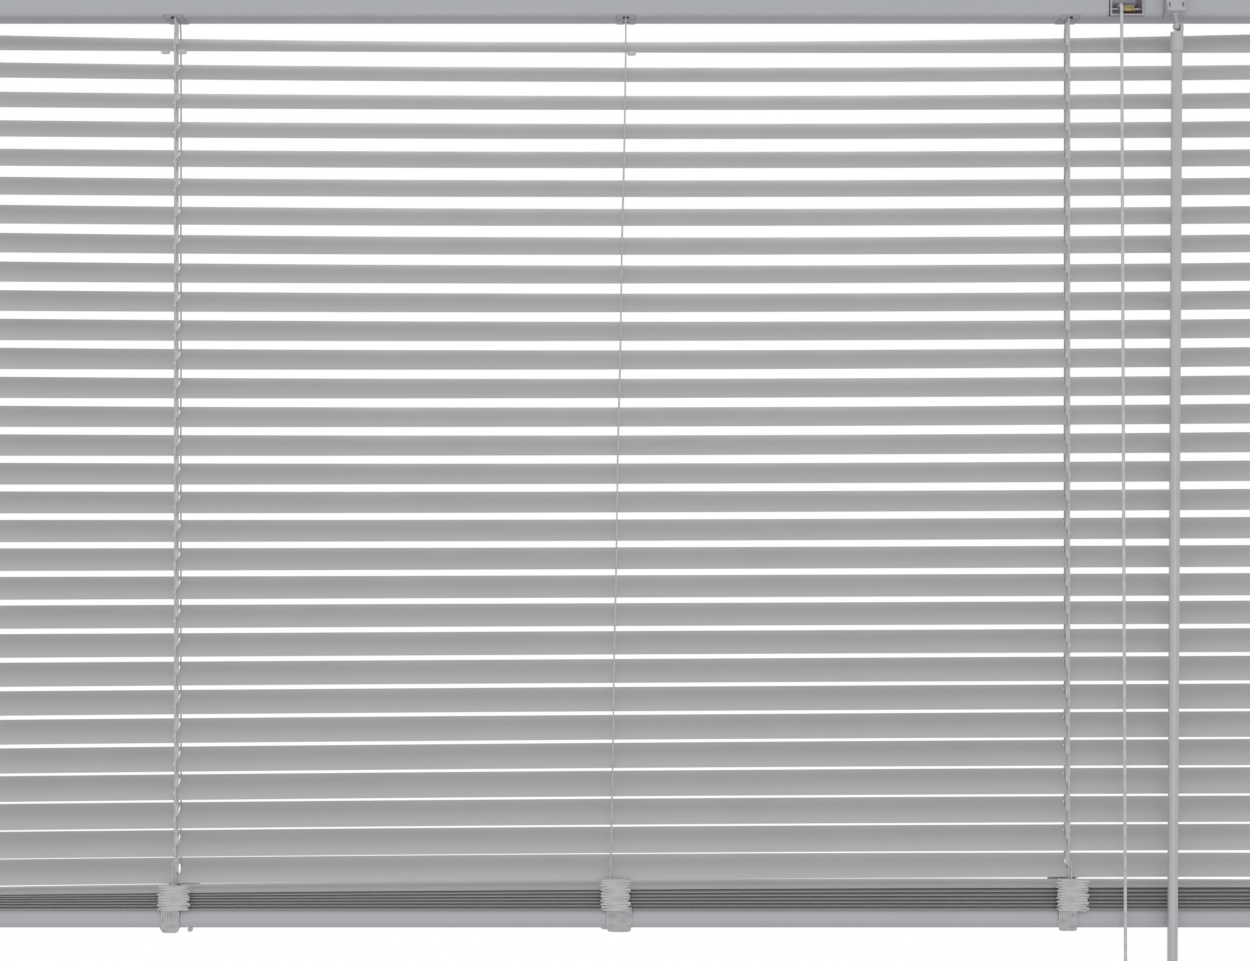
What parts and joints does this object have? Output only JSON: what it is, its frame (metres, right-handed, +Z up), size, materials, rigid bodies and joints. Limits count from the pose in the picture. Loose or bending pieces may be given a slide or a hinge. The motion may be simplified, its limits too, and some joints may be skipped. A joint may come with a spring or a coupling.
{
  "type": "venetian blind",
  "caption": "Grey venetian blind with horizontal crowned slats on ladder cords, partly raised, with a tilt wand, a cord lock and a pull cord.",
  "frame": {"origin": "on the ceiling plane, midway between the two bracket screws", "axes": "+X along the headrail, +Z up to the ceiling, -Y towards the room"},
  "size_m": [1.004, 0.0429, 0.779],
  "materials": {
    "grey_enamel_steel": "satin grey enamel on roll-formed steel",
    "grey_plastic": "matte grey moulding",
    "zinc_steel": "zinc-plated sheet and bar",
    "tilter_plastic": "milky grey moulding",
    "wand_plastic": "smooth grey moulding",
    "brass": "bare turned brass",
    "grey_cord": "braided polyester",
    "grey_enamel_aluminium": "satin grey enamel on aluminium strip"
  },
  "bodies": {
    "headrail": {"headrail": "grey_enamel_steel", "headrail_end_caps": "grey_plastic", "mounting_brackets": "zinc_steel", "drum_cradles": "grey_plastic", "tilter_housing": "tilter_plastic", "cord_lock": "zinc_steel", "lift_cords": "grey_cord", "pull_cord": "grey_cord"},
    "tilt_rod": {"tilt_rod": "zinc_steel", "ladder_drums": "grey_plastic", "tilter_gear": "grey_plastic"},
    "slat_01": {"slat_01": "grey_enamel_aluminium", "slat_clips": "grey_plastic"},
    "slat_02": {"slat_02": "grey_enamel_aluminium"},
    "slat_03": {"slat_03": "grey_enamel_aluminium"},
    "slat_04": {"slat_04": "grey_enamel_aluminium"},
    "slat_05": {"slat_05": "grey_enamel_aluminium"},
    "slat_06": {"slat_06": "grey_enamel_aluminium"},
    "slat_07": {"slat_07": "grey_enamel_aluminium"},
    "slat_08": {"slat_08": "grey_enamel_aluminium"},
    "slat_09": {"slat_09": "grey_enamel_aluminium"},
    "slat_10": {"slat_10": "grey_enamel_aluminium"},
    "slat_11": {"slat_11": "grey_enamel_aluminium"},
    "slat_12": {"slat_12": "grey_enamel_aluminium"},
    "slat_13": {"slat_13": "grey_enamel_aluminium"},
    "slat_14": {"slat_14": "grey_enamel_aluminium"},
    "slat_15": {"slat_15": "grey_enamel_aluminium"},
    "slat_16": {"slat_16": "grey_enamel_aluminium"},
    "slat_17": {"slat_17": "grey_enamel_aluminium"},
    "slat_18": {"slat_18": "grey_enamel_aluminium"},
    "slat_19": {"slat_19": "grey_enamel_aluminium"},
    "slat_20": {"slat_20": "grey_enamel_aluminium"},
    "slat_21": {"slat_21": "grey_enamel_aluminium"},
    "slat_22": {"slat_22": "grey_enamel_aluminium"},
    "slat_23": {"slat_23": "grey_enamel_aluminium"},
    "slat_24": {"slat_24": "grey_enamel_aluminium"},
    "slat_25": {"slat_25": "grey_enamel_aluminium"},
    "slat_26": {"slat_26": "grey_enamel_aluminium"},
    "slat_27": {"slat_27": "grey_enamel_aluminium"},
    "slat_28": {"slat_28": "grey_enamel_aluminium"},
    "slat_29": {"slat_29": "grey_enamel_aluminium"},
    "slat_30": {"slat_30": "grey_enamel_aluminium"},
    "front_ladder": {"front_ladder_cords": "grey_cord"},
    "rear_ladder": {"rear_ladder_cords": "grey_cord"},
    "tilter_worm": {"tilter_worm": "zinc_steel"},
    "wand_cap": {"wand_cap": "grey_plastic"},
    "wand": {"wand": "wand_plastic"},
    "bottom_rail": {"bottom_rail": "grey_enamel_steel", "bottom_rail_end_caps": "grey_plastic", "ladder_buttons": "grey_plastic", "ladder_slack": "grey_cord"},
    "piled_slat_1": {"piled_slat_1": "grey_enamel_aluminium"},
    "piled_slat_2": {"piled_slat_2": "grey_enamel_aluminium"},
    "piled_slat_3": {"piled_slat_3": "grey_enamel_aluminium"},
    "piled_slat_4": {"piled_slat_4": "grey_enamel_aluminium"},
    "piled_slat_5": {"piled_slat_5": "grey_enamel_aluminium"},
    "piled_slat_6": {"piled_slat_6": "grey_enamel_aluminium"},
    "piled_slat_7": {"piled_slat_7": "grey_enamel_aluminium"},
    "tassel": {"tassel": "grey_plastic"},
    "lock_roller": {"lock_roller": "brass"}
  },
  "joints": [
    {"name": "tilt", "type": "hinge", "parent": "headrail", "child": "tilt_rod", "pos_m": [0, 0, -0.0132], "axis": [1, 0, 0], "range_deg": [-108, 36], "deforming": ["front_ladder_cords", "rear_ladder_cords"]},
    {"name": "slat_01_tilt", "type": "hinge", "parent": "headrail", "child": "slat_01", "pos_m": [0, 0, -0.0432], "axis": [1, 0, 0], "range_deg": [-108, 36]},
    {"name": "slat_02_tilt", "type": "hinge", "parent": "headrail", "child": "slat_02", "pos_m": [0, 0, -0.0647], "axis": [1, 0, 0], "range_deg": [-108, 36]},
    {"name": "slat_03_tilt", "type": "hinge", "parent": "headrail", "child": "slat_03", "pos_m": [0, 0, -0.0862], "axis": [1, 0, 0], "range_deg": [-108, 36]},
    {"name": "slat_04_tilt", "type": "hinge", "parent": "headrail", "child": "slat_04", "pos_m": [0, 0, -0.1077], "axis": [1, 0, 0], "range_deg": [-108, 36]},
    {"name": "slat_05_tilt", "type": "hinge", "parent": "headrail", "child": "slat_05", "pos_m": [0, 0, -0.1292], "axis": [1, 0, 0], "range_deg": [-108, 36]},
    {"name": "slat_06_tilt", "type": "hinge", "parent": "headrail", "child": "slat_06", "pos_m": [0, 0, -0.1507], "axis": [1, 0, 0], "range_deg": [-108, 36]},
    {"name": "slat_07_tilt", "type": "hinge", "parent": "headrail", "child": "slat_07", "pos_m": [0, 0, -0.1722], "axis": [1, 0, 0], "range_deg": [-108, 36]},
    {"name": "slat_08_tilt", "type": "hinge", "parent": "headrail", "child": "slat_08", "pos_m": [0, 0, -0.1937], "axis": [1, 0, 0], "range_deg": [-108, 36]},
    {"name": "slat_09_tilt", "type": "hinge", "parent": "headrail", "child": "slat_09", "pos_m": [0, 0, -0.2152], "axis": [1, 0, 0], "range_deg": [-108, 36]},
    {"name": "slat_10_tilt", "type": "hinge", "parent": "headrail", "child": "slat_10", "pos_m": [0, 0, -0.2367], "axis": [1, 0, 0], "range_deg": [-108, 36]},
    {"name": "slat_11_tilt", "type": "hinge", "parent": "headrail", "child": "slat_11", "pos_m": [0, 0, -0.2582], "axis": [1, 0, 0], "range_deg": [-108, 36]},
    {"name": "slat_12_tilt", "type": "hinge", "parent": "headrail", "child": "slat_12", "pos_m": [0, 0, -0.2797], "axis": [1, 0, 0], "range_deg": [-108, 36]},
    {"name": "slat_13_tilt", "type": "hinge", "parent": "headrail", "child": "slat_13", "pos_m": [0, 0, -0.3012], "axis": [1, 0, 0], "range_deg": [-108, 36]},
    {"name": "slat_14_tilt", "type": "hinge", "parent": "headrail", "child": "slat_14", "pos_m": [0, 0, -0.3227], "axis": [1, 0, 0], "range_deg": [-108, 36]},
    {"name": "slat_15_tilt", "type": "hinge", "parent": "headrail", "child": "slat_15", "pos_m": [0, 0, -0.3442], "axis": [1, 0, 0], "range_deg": [-108, 36]},
    {"name": "slat_16_tilt", "type": "hinge", "parent": "headrail", "child": "slat_16", "pos_m": [0, 0, -0.3657], "axis": [1, 0, 0], "range_deg": [-108, 36]},
    {"name": "slat_17_tilt", "type": "hinge", "parent": "headrail", "child": "slat_17", "pos_m": [0, 0, -0.3872], "axis": [1, 0, 0], "range_deg": [-108, 36]},
    {"name": "slat_18_tilt", "type": "hinge", "parent": "headrail", "child": "slat_18", "pos_m": [0, 0, -0.4087], "axis": [1, 0, 0], "range_deg": [-108, 36]},
    {"name": "slat_19_tilt", "type": "hinge", "parent": "headrail", "child": "slat_19", "pos_m": [0, 0, -0.4302], "axis": [1, 0, 0], "range_deg": [-108, 36]},
    {"name": "slat_20_tilt", "type": "hinge", "parent": "headrail", "child": "slat_20", "pos_m": [0, 0, -0.4517], "axis": [1, 0, 0], "range_deg": [-108, 36]},
    {"name": "slat_21_tilt", "type": "hinge", "parent": "headrail", "child": "slat_21", "pos_m": [0, 0, -0.4732], "axis": [1, 0, 0], "range_deg": [-108, 36]},
    {"name": "slat_22_tilt", "type": "hinge", "parent": "headrail", "child": "slat_22", "pos_m": [0, 0, -0.4947], "axis": [1, 0, 0], "range_deg": [-108, 36]},
    {"name": "slat_23_tilt", "type": "hinge", "parent": "headrail", "child": "slat_23", "pos_m": [0, 0, -0.5162], "axis": [1, 0, 0], "range_deg": [-108, 36]},
    {"name": "slat_24_tilt", "type": "hinge", "parent": "headrail", "child": "slat_24", "pos_m": [0, 0, -0.5377], "axis": [1, 0, 0], "range_deg": [-108, 36]},
    {"name": "slat_25_tilt", "type": "hinge", "parent": "headrail", "child": "slat_25", "pos_m": [0, 0, -0.5592], "axis": [1, 0, 0], "range_deg": [-108, 36]},
    {"name": "slat_26_tilt", "type": "hinge", "parent": "headrail", "child": "slat_26", "pos_m": [0, 0, -0.5807], "axis": [1, 0, 0], "range_deg": [-108, 36]},
    {"name": "slat_27_tilt", "type": "hinge", "parent": "headrail", "child": "slat_27", "pos_m": [0, 0, -0.6022], "axis": [1, 0, 0], "range_deg": [-108, 36]},
    {"name": "slat_28_tilt", "type": "hinge", "parent": "headrail", "child": "slat_28", "pos_m": [0, 0, -0.6237], "axis": [1, 0, 0], "range_deg": [-108, 36]},
    {"name": "slat_29_tilt", "type": "hinge", "parent": "headrail", "child": "slat_29", "pos_m": [0, 0, -0.6452], "axis": [1, 0, 0], "range_deg": [-108, 36]},
    {"name": "slat_30_tilt", "type": "hinge", "parent": "headrail", "child": "slat_30", "pos_m": [0, 0, -0.6667], "axis": [1, 0, 0], "range_deg": [-108, 36]},
    {"name": "front_ladder_level", "type": "hinge", "parent": "slat_01", "child": "front_ladder", "pos_m": [0, -0.00858, -0.05246], "axis": [1, 0, 0], "range_deg": [-36, 108]},
    {"name": "rear_ladder_level", "type": "hinge", "parent": "slat_01", "child": "rear_ladder", "pos_m": [0, 0.01085, -0.03673], "axis": [1, 0, 0], "range_deg": [-36, 108]},
    {"name": "worm_turn", "type": "hinge", "parent": "headrail", "child": "tilter_worm", "pos_m": [0.4135, -0.02106, -0.03597], "axis": [0, 0.342, 0.9397], "range_deg": [-1080, 360]},
    {"name": "wand_swing", "type": "hinge", "parent": "headrail", "child": "wand_cap", "pos_m": [0.4135, -0.02106, -0.03597], "axis": [-1, 0, 0], "range_deg": [0, 60]},
    {"name": "wand_turn", "type": "hinge", "parent": "wand_cap", "child": "wand", "pos_m": [0.4135, -0.02106, -0.03597], "axis": [0.0049, 0, 1], "range_deg": [-1080, 360]},
    {"name": "lower", "type": "slide", "parent": "headrail", "child": "bottom_rail", "axis": [0, 0, 1], "range_m": [-0.14225, 0]},
    {"name": "piled_slat_1_spread", "type": "slide", "parent": "headrail", "child": "piled_slat_1", "axis": [0, 0, 1], "range_m": [-0.00821, 0]},
    {"name": "piled_slat_2_spread", "type": "slide", "parent": "headrail", "child": "piled_slat_2", "axis": [0, 0, 1], "range_m": [-0.02736, 0]},
    {"name": "piled_slat_3_spread", "type": "slide", "parent": "headrail", "child": "piled_slat_3", "axis": [0, 0, 1], "range_m": [-0.04651, 0]},
    {"name": "piled_slat_4_spread", "type": "slide", "parent": "headrail", "child": "piled_slat_4", "axis": [0, 0, 1], "range_m": [-0.06566, 0]},
    {"name": "piled_slat_5_spread", "type": "slide", "parent": "headrail", "child": "piled_slat_5", "axis": [0, 0, 1], "range_m": [-0.08481, 0]},
    {"name": "piled_slat_6_spread", "type": "slide", "parent": "headrail", "child": "piled_slat_6", "axis": [0, 0, 1], "range_m": [-0.10396, 0]},
    {"name": "piled_slat_7_spread", "type": "slide", "parent": "headrail", "child": "piled_slat_7", "axis": [0, 0, 1], "range_m": [-0.12311, 0]},
    {"name": "tassel_rise", "type": "slide", "parent": "headrail", "child": "tassel", "axis": [-0.0023, 0.0063, 1], "range_m": [0, 0.14226]},
    {"name": "lock_release", "type": "slide", "parent": "headrail", "child": "lock_roller", "axis": [0, 1, 0], "range_m": [0, 0.002]}
  ],
  "couplings": [
    {"joint": "slat_01_tilt", "follows": "tilt", "ratio": 1},
    {"joint": "slat_02_tilt", "follows": "tilt", "ratio": 1},
    {"joint": "slat_03_tilt", "follows": "tilt", "ratio": 1},
    {"joint": "slat_04_tilt", "follows": "tilt", "ratio": 1},
    {"joint": "slat_05_tilt", "follows": "tilt", "ratio": 1},
    {"joint": "slat_06_tilt", "follows": "tilt", "ratio": 1},
    {"joint": "slat_07_tilt", "follows": "tilt", "ratio": 1},
    {"joint": "slat_08_tilt", "follows": "tilt", "ratio": 1},
    {"joint": "slat_09_tilt", "follows": "tilt", "ratio": 1},
    {"joint": "slat_10_tilt", "follows": "tilt", "ratio": 1},
    {"joint": "slat_11_tilt", "follows": "tilt", "ratio": 1},
    {"joint": "slat_12_tilt", "follows": "tilt", "ratio": 1},
    {"joint": "slat_13_tilt", "follows": "tilt", "ratio": 1},
    {"joint": "slat_14_tilt", "follows": "tilt", "ratio": 1},
    {"joint": "slat_15_tilt", "follows": "tilt", "ratio": 1},
    {"joint": "slat_16_tilt", "follows": "tilt", "ratio": 1},
    {"joint": "slat_17_tilt", "follows": "tilt", "ratio": 1},
    {"joint": "slat_18_tilt", "follows": "tilt", "ratio": 1},
    {"joint": "slat_19_tilt", "follows": "tilt", "ratio": 1},
    {"joint": "slat_20_tilt", "follows": "tilt", "ratio": 1},
    {"joint": "slat_21_tilt", "follows": "tilt", "ratio": 1},
    {"joint": "slat_22_tilt", "follows": "tilt", "ratio": 1},
    {"joint": "slat_23_tilt", "follows": "tilt", "ratio": 1},
    {"joint": "slat_24_tilt", "follows": "tilt", "ratio": 1},
    {"joint": "slat_25_tilt", "follows": "tilt", "ratio": 1},
    {"joint": "slat_26_tilt", "follows": "tilt", "ratio": 1},
    {"joint": "slat_27_tilt", "follows": "tilt", "ratio": 1},
    {"joint": "slat_28_tilt", "follows": "tilt", "ratio": 1},
    {"joint": "slat_29_tilt", "follows": "tilt", "ratio": 1},
    {"joint": "slat_30_tilt", "follows": "tilt", "ratio": 1},
    {"joint": "front_ladder_level", "follows": "tilt", "ratio": -1},
    {"joint": "rear_ladder_level", "follows": "tilt", "ratio": -1},
    {"joint": "worm_turn", "follows": "tilt", "ratio": 10},
    {"joint": "wand_turn", "follows": "tilt", "ratio": 10},
    {"joint": "piled_slat_1_spread", "follows": "lower", "ratio": 0.057645},
    {"joint": "piled_slat_2_spread", "follows": "lower", "ratio": 0.19227},
    {"joint": "piled_slat_3_spread", "follows": "lower", "ratio": 0.32689},
    {"joint": "piled_slat_4_spread", "follows": "lower", "ratio": 0.46151},
    {"joint": "piled_slat_5_spread", "follows": "lower", "ratio": 0.59613},
    {"joint": "piled_slat_6_spread", "follows": "lower", "ratio": 0.73076},
    {"joint": "piled_slat_7_spread", "follows": "lower", "ratio": 0.86538},
    {"joint": "tassel_rise", "follows": "lower", "ratio": -1}
  ]
}
